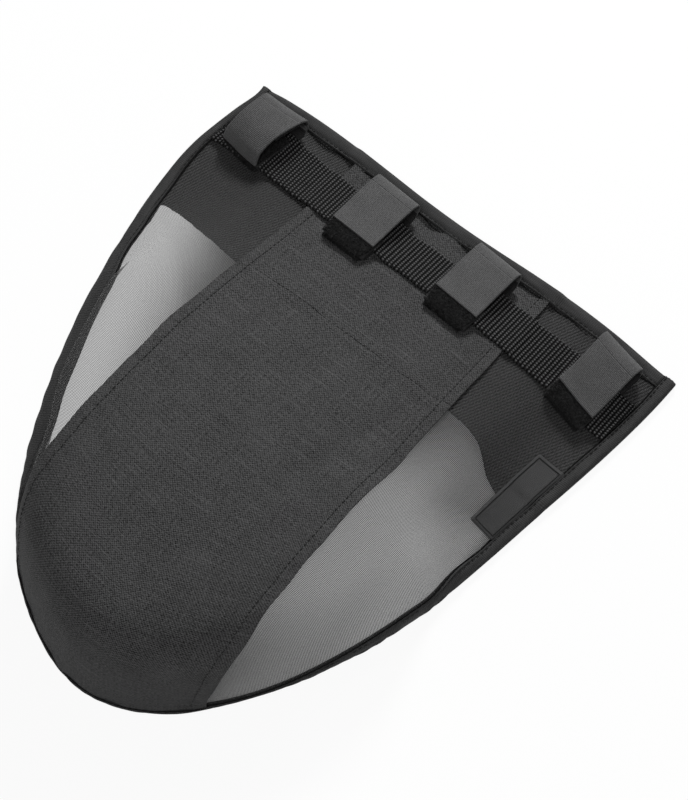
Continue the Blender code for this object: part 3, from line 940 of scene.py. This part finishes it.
def make_rim_tape():
    overrun = math.asin(EDGE_REACH / LENGTH)
    psi = np.linspace(-overrun, math.pi + overrun, 420)
    whole = arcs(psi)[1][:, -1]
    rim = cover(psi, 1.0)
    along = distances(rim)
    width = rim_width(psi) * (1 + 0.06 * waves(along, 21, 0.03))
    shown = width / RIM_BINDING_WIDTH

    def place(depth):
        return psi, t_at(psi, whole - depth)

    def swell(inset):
        fullness = TURNED_FULLNESS + (1 - TURNED_FULLNESS) * shown
        return (1 + 0.25 * waves(along + 0.3 * inset, 22, 0.025)) * fullness

    folded_tape("rim_tape", "rim_binding", width, RIM_PUFF, place, lambda psi, t: eased(outer_face(psi, t)),
                inner_face(LENGTH * np.sin(psi)), swell, unit(rim - cover(psi, 1 - NUDGE)))
    line, up = sewn_line(place, STITCH_INSET * width, stitch_lift(RIM_PUFF))
    sewn = shown > SEWN_SHARE
    for name, side in (("right", psi < np.pi / 2), ("left", psi > np.pi / 2)):
        stitches(f"rim_stitches_{name}", line[sewn & side], up[sewn & side], thread_finish)
    # A dark unbroken line just past the tape's inner edge: painted shade of the gap between tape and cloth,
    # drawn as sunk seam thread
    line, up = sewn_line(place, width + RIM_SEAM_CLEAR, THREAD_LIFT)
    stitches("rim_seam_shade", line, up, seam_and_gap_shade_finish, width=0.0010, **SEAM_SHADE_THREAD)


def make_top_tape():
    reach = HALF_TOP - TAPE_CLEAR
    u = np.linspace(LEFT_CORNER_TAPE - reach, reach - RIGHT_CORNER_TAPE, 260)
    width = TOP_BINDING_WIDTH + 0.0005 * waves(u, 31, 0.05)

    def place(depth):
        return locate(u, depth)

    def swell(inset):
        return 1 + 0.2 * waves(u + 0.2 * inset, 32, 0.04)

    folded_tape("top_tape", "top_binding", width, TOP_PUFF, place, outer_face, np.full_like(u, FACING_IN),
                swell, np.array([0, 1.0, 0]))
    line, up = sewn_line(place, STITCH_INSET * width, stitch_lift(TOP_PUFF))
    stitches("top_stitches", line, up, thread_finish)
    # A dark unbroken line just past the top tape's inner edge: painted shade of the gap between tape and
    # cloth, drawn as sunk seam thread
    line, up = sewn_line(place, width + TOP_SEAM_CLEAR + 0.0009 * waves(u, 33, 0.025), THREAD_LIFT)
    stitches("top_seam_shade", line, up, seam_and_gap_shade_finish, width=0.0009, **SEAM_SHADE_THREAD)


# Webbing


def walk(u, v, distance, count=12):
    """The v reached by going this far along the cover towards the tip, at the same u."""
    v = np.broadcast_to(np.asarray(v, float), np.shape(u)).copy()
    for _ in range(count):
        climb = np.linalg.norm(cover(*locate(u, v + NUDGE)) - cover(*locate(u, v)), axis=-1) / NUDGE
        v += distance / count / climb
    return v


def webbing_lie(u):
    """How far towards the tip the webbing lies off its line: back at the first strap, forward at the last."""
    forward = WEBBING_FORWARD * smooth(u, 0.095, 0.05)
    return WEBBING_LIE + forward - WEBBING_BACK * (1 - smooth(u, -0.14, 0.10))


def make_webbing():
    half = HALF_TOP * math.cos(math.asin(WEBBING_FROM_TOP / LENGTH)) - TAPE_CLEAR
    first, last = LEFT_CORNER_TAPE - half, half - RIGHT_CORNER_TAPE
    u_line = np.arange(first, last, 0.00035)
    coarse = np.linspace(first, last, 61)
    front = np.interp(u_line, coarse, walk(coarse, WEBBING_FROM_TOP, WEBBING_WIDTH))
    share = np.linspace(0, 1, 87)
    v = WEBBING_FROM_TOP * (1 - share) + front[:, None] * share
    v = v + (0.0004 * waves(u_line, 41, 0.03) + webbing_lie(u_line))[:, None]
    u = np.broadcast_to(u_line[:, None], v.shape)
    u = u * (1 - (1 - np.sqrt(1 - (v / LENGTH) ** 2)) * (np.abs(u) / half) ** 4)
    psi, t = locate(u, v)
    near = np.min([np.abs(u - p) for p in STRAP_PLACES], axis=0) - STRAP_WIDTH / 2
    bump = 1 - smooth(near, LAYER_GAP, WEBBING_RAMP)
    rib = np.abs(np.sin(np.pi * u / RIB_PITCH)) ** 0.7
    odd = np.floor(u / RIB_PITCH) % 2
    knot = 0.5 + 0.5 * np.cos(2 * np.pi * (share * WEBBING_WIDTH / KNOT_PITCH + 0.5 * odd))  # staggered
    edge = np.minimum(share, 1 - share) * WEBBING_WIDTH
    relief = RIB_HEIGHT * rib * (0.3 + 0.7 * knot) - 0.0005 * (1 - smooth(edge / 0.0015))
    base = outer_face(psi, t) + LAYER_GAP + (STRAP_THICK + LAYER_GAP) * bump
    points = np.stack([layer(psi, t, base + WEBBING_THICK * 0.75 + relief), layer(psi, t, base)])
    uv = np.stack([np.broadcast_to(share * WEBBING_WIDTH, u.shape), u], -1)
    build("ribbed_webbing", settle(points), slab_faces(*u.shape), webbing_finish, np.stack([uv, uv]),
          stands_for=["webbing"], slot="webbing")


# Straps


def strap_line(u):
    v = walk(u, WEBBING_FROM_TOP, WEBBING_WIDTH / 2)
    return v, NUDGE / np.linalg.norm(cover(*locate(u, v + NUDGE)) - cover(*locate(u, v)), axis=-1)


def unsettled(plan):
    """Where a place in plan lay before the cover settled."""
    found = plan.copy()
    for _ in range(5):
        full = np.concatenate([found, np.zeros(found.shape[:-1] + (1,))], -1)
        found = plan - (settle(full) - full)[..., :2]
    return found


def on_strap(number, across, back, up):
    """Points on a strap: across it, behind the webbing's middle and up off the panels' outer face."""
    right, behind, turn, twist = STRAP_LIES[number - 1]
    centre = STRAP_PLACES[number - 1]
    middle, scale = [x[0] for x in strap_line(np.array([centre]))]
    across_turn = turn - twist * back / (WEBBING_WIDTH / 2 + STRAP_BACK)
    x = centre + right + across * np.cos(across_turn) + back * math.sin(turn)
    v = middle - (behind + back * math.cos(turn) - across * np.sin(across_turn)) * scale
    plan = unsettled(np.stack(np.broadcast_arrays(x, CENTRE_V - v), -1))
    psi, t = locate(plan[..., 0], CENTRE_V - plan[..., 1])
    # Over the flat top edge a strap keeps the slope's direction, so that its fold stays straight
    lean = normal(*locate(plan[..., 0], np.maximum(CENTRE_V - plan[..., 1], FLAT_TOP + SLOPE_CLEAR)))
    return layer(psi, t, outer_face(psi, t)) + lean * np.broadcast_to(up, psi.shape)[..., None]


def curve_through(points, count):
    """A smooth line through points, by chord length, at this many even steps."""
    points = np.array(points, float)
    gaps = np.concatenate([[0], np.cumsum(np.linalg.norm(np.diff(points, axis=0), axis=-1) ** 0.5)])
    slopes = np.gradient(points, gaps, axis=0)
    fine = np.linspace(0, gaps[-1], 400)
    k = np.clip(np.searchsorted(gaps, fine, side="right") - 1, 0, len(gaps) - 2)
    h = (gaps[k + 1] - gaps[k])[:, None]
    x = ((fine - gaps[k])[:, None]) / h
    line = ((2 * x**3 - 3 * x**2 + 1) * points[k] + (x**3 - 2 * x**2 + x) * h * slopes[k]
            + (-2 * x**3 + 3 * x**2) * points[k + 1] + (x**3 - x**2) * h * slopes[k + 1])
    length = distances(line)
    at = np.linspace(0, length[-1], count)
    return np.stack([np.interp(at, length, line[:, i]) for i in range(2)], -1)


def ellipse(centre, radii, angles):
    return [(centre[0] + radii[0] * math.cos(a), centre[1] + radii[1] * math.sin(a)) for a in angles]


def loop_line(extra, short, drop, round_share):
    """The flap from its fold at the back over the crest to its front edge, as (back, up) pairs."""
    half = WEBBING_WIDTH / 2
    back = half + STRAP_BACK
    crest = LOOP_CREST + extra
    low = FLAP_FRONT - drop
    fall = crest - low
    pairs = [
        (back, HINGE_HEIGHT),
        (back + 0.0006, HINGE_HEIGHT + 0.0025),
        (back - 0.0002, crest - 0.0036),
        (back - 0.0030, crest - 0.0009),
        (back - 0.0075, crest),
        (back - 0.0145, crest - 0.0012 * (1.3 - round_share)),
        (half * 0.27, low + fall * (0.50 + 0.28 * round_share)),
        (-half * 0.27, low + fall * (0.20 + 0.26 * round_share)),
        (-half * 0.66 + short * 0.6, low + 0.0003 + 0.26 * fall * round_share),
        (-half - 0.0004 + short, low - 0.0003),
    ]
    return curve_through(pairs, FLAP_STEPS)


def offset_line(line, distance):
    """The line moved sideways by this much, to its left as it runs."""
    ahead = unit(np.gradient(line, axis=0))
    return line + np.stack([-ahead[:, 1], ahead[:, 0]], -1) * distance


def make_strap(number):
    name = f"strap_{number}"
    flap_body = f"flap_{number}"
    tuck, bulge = FRONT_ROLLS[number - 1]
    low = LAYER_GAP + STRAP_THICK / 2
    over_webbing = low + STRAP_THICK + STRAP_CLEAR + WEBBING_THICK
    back = WEBBING_WIDTH / 2 + STRAP_BACK
    front = -WEBBING_WIDTH / 2 - LAYER_GAP + tuck
    closure = front + CLOSURE_LENGTHS[number - 1]
    half_turn = (over_webbing - low) / 2
    middle = low + half_turn

    def grid(line, width, pinch=1.0):
        across = np.linspace(-width / 2, width / 2, STRAP_COLUMNS)
        spread = across * np.broadcast_to(pinch, len(line))[:, None]
        return on_strap(number, spread, np.broadcast_to(line[:, :1], spread.shape), line[:, 1:])

    def tape(piece, line, thick, finish, width, **kinds):
        return cloth(f"{name}_{piece}", grid(line, width), thick, finish, **kinds)

    fold_angles = np.linspace(0, -math.pi / 2, 9)
    fold = ellipse((back - FOLD_LENGTH, HINGE_HEIGHT), (FOLD_LENGTH, HINGE_HEIGHT - low), fold_angles)
    run = [(y, low) for y in np.linspace(back - FOLD_LENGTH, front, 8)[1:-1]]
    turn = ellipse((front, middle), (bulge, half_turn), np.linspace(-math.pi / 2, -1.5 * math.pi, 10))
    lower = curve_through(fold + run + turn + [(closure, over_webbing)], 150)
    flap = loop_line(*FLAP_FORMS[number - 1])
    hinge = FOLD_SHOWN / 2
    below = distances(lower)[1:]
    tape("lower_tape", lower[1:][below > hinge], STRAP_THICK, base_finish, STRAP_WIDTH,
         stands_for=[f"{name}_base"], slot="strap")
    bent = int((distances(flap)[1:] < BENT_LENGTH).sum())
    tape("flap_tape", flap[bent:], STRAP_THICK, strap_finish, STRAP_WIDTH, body=flap_body,
         stands_for=[f"{name}_flap"], slot="strap")

    # Fold of the tape, from its lower run into the flap
    fold_line = curve_through(np.concatenate([lower[1:][below < hinge * 1.4][::-1], flap[1:bent + 1]]), 40)
    start, end = settle(grid(fold_line, STRAP_WIDTH))[[0, -1], STRAP_COLUMNS // 2]

    def bending(piece, line, thick, finish, width, slot):
        made = tape(piece, line, thick, finish, width, body=None, slot=slot)
        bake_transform(made)

    bending("fold_tape", fold_line, STRAP_THICK, strap_finish, STRAP_WIDTH, "strap")

    # Hook ply under the flap, and the tape's other end that lines the loop
    hooks = offset_line(flap, HOOK_DEPTH)
    tape("hook_tape", hooks[bent:-1], HOOK_THICK, hook_finish, HOOK_WIDTH, body=flap_body,
         stands_for=[f"{name}_hook_pad"], slot="hook")
    bending("hook_fold", hooks[HOOK_START:bent + 2], HOOK_THICK, hook_finish, HOOK_WIDTH, "hook")
    inner = offset_line(flap, INNER_DEPTH)
    tape("inner_ply", inner[bent:INNER_END], HOOK_THICK, hook_finish, INNER_WIDTH, body=flap_body,
         slot="hook")
    bending("inner_fold", inner[INNER_START:bent + 2], HOOK_THICK, hook_finish, INNER_WIDTH, "hook")
    behind = lower[:, 0] > WEBBING_WIDTH / 2 + STRAP_THICK
    lined = behind & (lower[:, 1] < HINGE_HEIGHT - LINING_THICK)
    lining = offset_line(lower, -LINING_DEPTH)[lined]
    tape("loop_lining", lining, LINING_THICK, hook_finish, LINING_WIDTH, slot="hook")

    # Loop pile round the front, with its fuzz
    grow = STRAP_THICK / 2 + PILE_CLEAR + PILE_THICK / 2
    pile_angles = np.linspace(-0.62 * math.pi, -1.5 * math.pi, 14)
    pile = ellipse((front, middle), (bulge + grow, half_turn + grow), pile_angles)
    line = curve_through(pile + [(closure, over_webbing + grow)], 70)
    ahead = smooth((front - line[:, 0]) / (bulge + grow))
    points = grid(line, PILE_WIDTH, pinch=1 - PILE_PINCH * ahead**2)
    lumps = PILE_LUMPS * waves(points[..., 0] * 1.7 + points[..., 1], 50 + number, 0.005)
    lumps = lumps * waves(points[..., 0] - 2 * points[..., 2], 60 + number, 0.004)
    points = points + grid_normals(points) * lumps[..., None]
    cloth(f"{name}_pile_pad", points, PILE_THICK, pile_finish, stands_for=[f"{name}_loop_pad"], slot="pile")
    make_fuzz(f"{name}_pile_fuzz", points, 70 + number)


def make_fuzz(name, points, seed):
    """Loose loops that stand off the pile: each a short curved sliver, placed by a seeded draw."""
    rng = np.random.default_rng(seed)
    rows, columns = points.shape[:2]
    r = rng.uniform(0, rows - 1.001, FUZZ_COUNT)
    c = rng.uniform(0, columns - 1.001, FUZZ_COUNT)
    out = grid_normals(points)
    if out[..., 2].sum() < 0:
        out = -out
    i, j = r.astype(int), c.astype(int)
    fr, fc = (r - i)[:, None], (c - j)[:, None]

    def between(field):
        top = field[i, j] * (1 - fc) + field[i, j + 1] * fc
        bottom = field[i + 1, j] * (1 - fc) + field[i + 1, j + 1] * fc
        return top * (1 - fr) + bottom * fr

    root, up = between(points), unit(between(out))
    lean = unit(np.cross(up, rng.normal(size=(FUZZ_COUNT, 3))))
    side = np.cross(up, lean)
    length = rng.uniform(*FUZZ_LENGTHS, FUZZ_COUNT)[:, None]
    half = side * rng.uniform(*FUZZ_WIDTHS, FUZZ_COUNT)[:, None]
    base = root + up * PILE_THICK * 0.4
    middle = base + up * length * 0.55 + lean * length * 0.15
    tip = base + up * length * 0.62 + lean * length * 0.75
    strand = [base - half, base + half, middle - half, middle + half, tip - half * 0.4, tip + half * 0.4]
    start = 6 * np.arange(FUZZ_COUNT)[:, None, None]
    faces = (start + np.array([[0, 1, 3, 2], [2, 3, 5, 4]])).reshape(-1, 4)
    uv = np.broadcast_to(rng.uniform(0, 0.03, (FUZZ_COUNT, 1, 2)), (FUZZ_COUNT, 6, 2))
    build(name, settle(np.stack(strand, 1)), faces, pile_finish, uv, slot="pile")


# Label


def make_label():
    first = math.asin(LABEL_FROM_TOP / LENGTH)
    last = first + LABEL_LENGTH / math.hypot(LENGTH * math.cos(first), HALF_TOP * math.sin(first))
    psi = np.linspace(first, last, LABEL_ROWS)
    inset = np.linspace(0, LABEL_WIDTH, LABEL_COLUMNS)
    places = t_at(psi, arcs(psi)[1][:, -1:] - LABEL_INSET - inset)
    rows = np.broadcast_to(psi[:, None], places.shape)
    along = np.linspace(0, 1, LABEL_ROWS)[:, None] * LABEL_LENGTH
    rim = np.minimum(np.minimum(along, LABEL_LENGTH - along), np.minimum(inset, LABEL_WIDTH - inset)[None, :])
    rounded = -EDGE_SINK * (1 - smooth(rim / EDGE_ROUND))
    points = layer(rows, places, MESH_OUT + LAYER_GAP + LABEL_THICK / 2 + rounded)
    cloth("label", points, LABEL_THICK, rubber_finish, stands_for=["label_patch"], slot="label")

    # Dark moulded line round the label's edge
    inside = slice(BORDER_STEPS, -BORDER_STEPS)
    line = edge_loop(points[inside, inside])
    up = unit(edge_loop(grid_normals(points)[inside, inside]))
    up = up if up[:, 2].mean() > 0 else -up
    across = np.cross(unit(np.roll(line, -1, axis=0) - np.roll(line, 1, axis=0)), up)
    angles = np.linspace(0, 2 * np.pi, 9)[:-1]
    ring = line[:, None] + up[:, None] * (LABEL_THICK / 2 + BORDER_HEIGHT * np.sin(angles))[None, :, None]
    ring = ring + across[:, None] * (BORDER_HALF * np.cos(angles))[None, :, None]
    ring = np.concatenate([ring, ring[:1]])
    tube("label_border", ring, border_finish, slot="label")


make_canvas()
make_nets()
make_facing()
make_rim_tape()
make_top_tape()
make_webbing()
for number in range(1, len(STRAP_PLACES) + 1):
    make_strap(number)
make_label()


# Floor, light and camera


def floor_finish():
    """White to the camera outside the rim, with a faint shadow, and inside it painted light and shade:
    dimmer, brightest at the left.
    """
    made = Finish("floor", 1.0)
    tree = made.tree
    tree.nodes.remove(made.shader)
    diffuse = made.add("BsdfDiffuse", (0.9, 0.9, 0.9, 1))
    white = made.add("Emission", (1, 1, 1, 1))
    path = made.add("LightPath").outputs
    seen = made.math("MAXIMUM", path["Is Camera Ray"], path["Is Glossy Ray"])
    seen = made.math("MAXIMUM", seen, path["Is Transmission Ray"])
    place = made.add("NewGeometry").outputs["Position"]

    def vector(operation, *sources, output=0):
        return made.add("VectorMath", *sources, operation=operation).outputs[output]

    def ramp(value, low, high, start, end):
        return made.add("MapRange", value, low, high, start, end, interpolation_type="SMOOTHSTEP").outputs[0]

    lain = place
    for at, pull, reach in PULLS:
        away = vector("DISTANCE", place, (*at, 0), output="Value")
        share = made.math("EXPONENT", made.math("MULTIPLY", made.math("MULTIPLY", away, away), -1 / reach**2))
        moved = made.add("VectorMath", (*pull, 0), operation="SCALE")
        tree.links.new(share, moved.inputs["Scale"])
        lain = vector("SUBTRACT", lain, moved.outputs[0])
    plan = vector("MULTIPLY_ADD", lain, (1 / HALF_TOP, 1 / LENGTH, 0), (0, -CENTRE_V / LENGTH, 0))
    x, y = made.add("SeparateXYZ", plan).outputs[:2]
    radius = vector("LENGTH", plan, output="Value")
    outside = made.math("MAXIMUM", made.math("GREATER_THAN", radius, GROUND_EDGE),
                        made.math("GREATER_THAN", y, GROUND_START))
    # Painted light and shade on the ground seen through the net: at the left brighter towards the rim, at the
    # right darker at the tip, under the facing, near the rim and beside the label
    right = made.math("MULTIPLY", ramp(y, *PAINTED_LIGHT_TIP), ramp(y, *PAINTED_LIGHT_TOP))
    right = made.math("MULTIPLY", right, ramp(radius, *PAINTED_LIGHT_RIM))
    right = made.math("MULTIPLY", right, ramp(vector("DISTANCE", place, SHADE_PLACE, output="Value"), *SHADE))
    share = ramp(x, *PAINTED_LIGHT_MIDDLE)
    inside = made.math("ADD", made.math("MULTIPLY", ramp(radius, *PAINTED_LIGHT_LEFT), share),
                       made.math("MULTIPLY", right, made.math("SUBTRACT", 1.0, share)))
    clear = made.math("MAXIMUM", made.math("MULTIPLY", outside, GROUND_WHITE), inside)
    mix = made.add("MixShader", made.math("MULTIPLY", clear, seen), diffuse.outputs[0], white.outputs[0])
    tree.links.new(mix.outputs[0], tree.nodes["Material Output"].inputs["Surface"])
    return made.made


def put(data, place, ahead):
    """Adds a lamp or camera at a place, turned to look ahead."""
    made = bpy.data.objects.new(data.name, data)
    made.location = place
    made.rotation_euler = ahead.to_track_quat("-Z", "Y").to_euler()
    bpy.context.scene.collection.objects.link(made)
    return made


def make_world():
    """White to the camera, and dimmer as a light."""
    world = bpy.data.worlds.new("studio")
    world.use_nodes = True
    bpy.context.scene.world = world
    nodes, link = world.node_tree.nodes, world.node_tree.links.new
    nodes.clear()
    output, mix = nodes.new("ShaderNodeOutputWorld"), nodes.new("ShaderNodeMixShader")
    link(nodes.new("ShaderNodeLightPath").outputs["Is Camera Ray"], mix.inputs[0])
    for slot, strength in ((1, WORLD_STRENGTH), (2, 1.0)):
        ground = nodes.new("ShaderNodeBackground")
        ground.inputs["Color"].default_value = (1, 1, 1, 1)
        ground.inputs["Strength"].default_value = strength
        link(ground.outputs[0], mix.inputs[slot])
    link(mix.outputs[0], output.inputs["Surface"])


def make_stage():
    bpy.ops.mesh.primitive_plane_add(size=FLOOR_SIZE, location=(0, 0, -FLOOR_DROP))
    floor = bpy.context.object
    floor.name = "floor"
    floor.data.materials.append(floor_finish())
    make_world()
    for name, place, size, power in LAMPS:
        light = bpy.data.lights.new(name, "AREA")
        light.shape = "DISK"
        light.size = size
        light.energy = power
        put(light, place, -Vector(place))


def make_camera():
    camera = bpy.data.cameras.new("camera")
    camera.lens = CAMERA_LENS
    camera.sensor_width = CAMERA_SENSOR
    flat = math.cos(CAMERA_ELEVATION)
    back = Vector((math.sin(CAMERA_TURN) * flat, -math.cos(CAMERA_TURN) * flat, math.sin(CAMERA_ELEVATION)))
    bpy.context.scene.camera = put(camera, CAMERA_TARGET + back * CAMERA_DISTANCE, -back)


make_stage()
make_camera()
bpy.context.scene.view_settings.view_transform = "Standard"
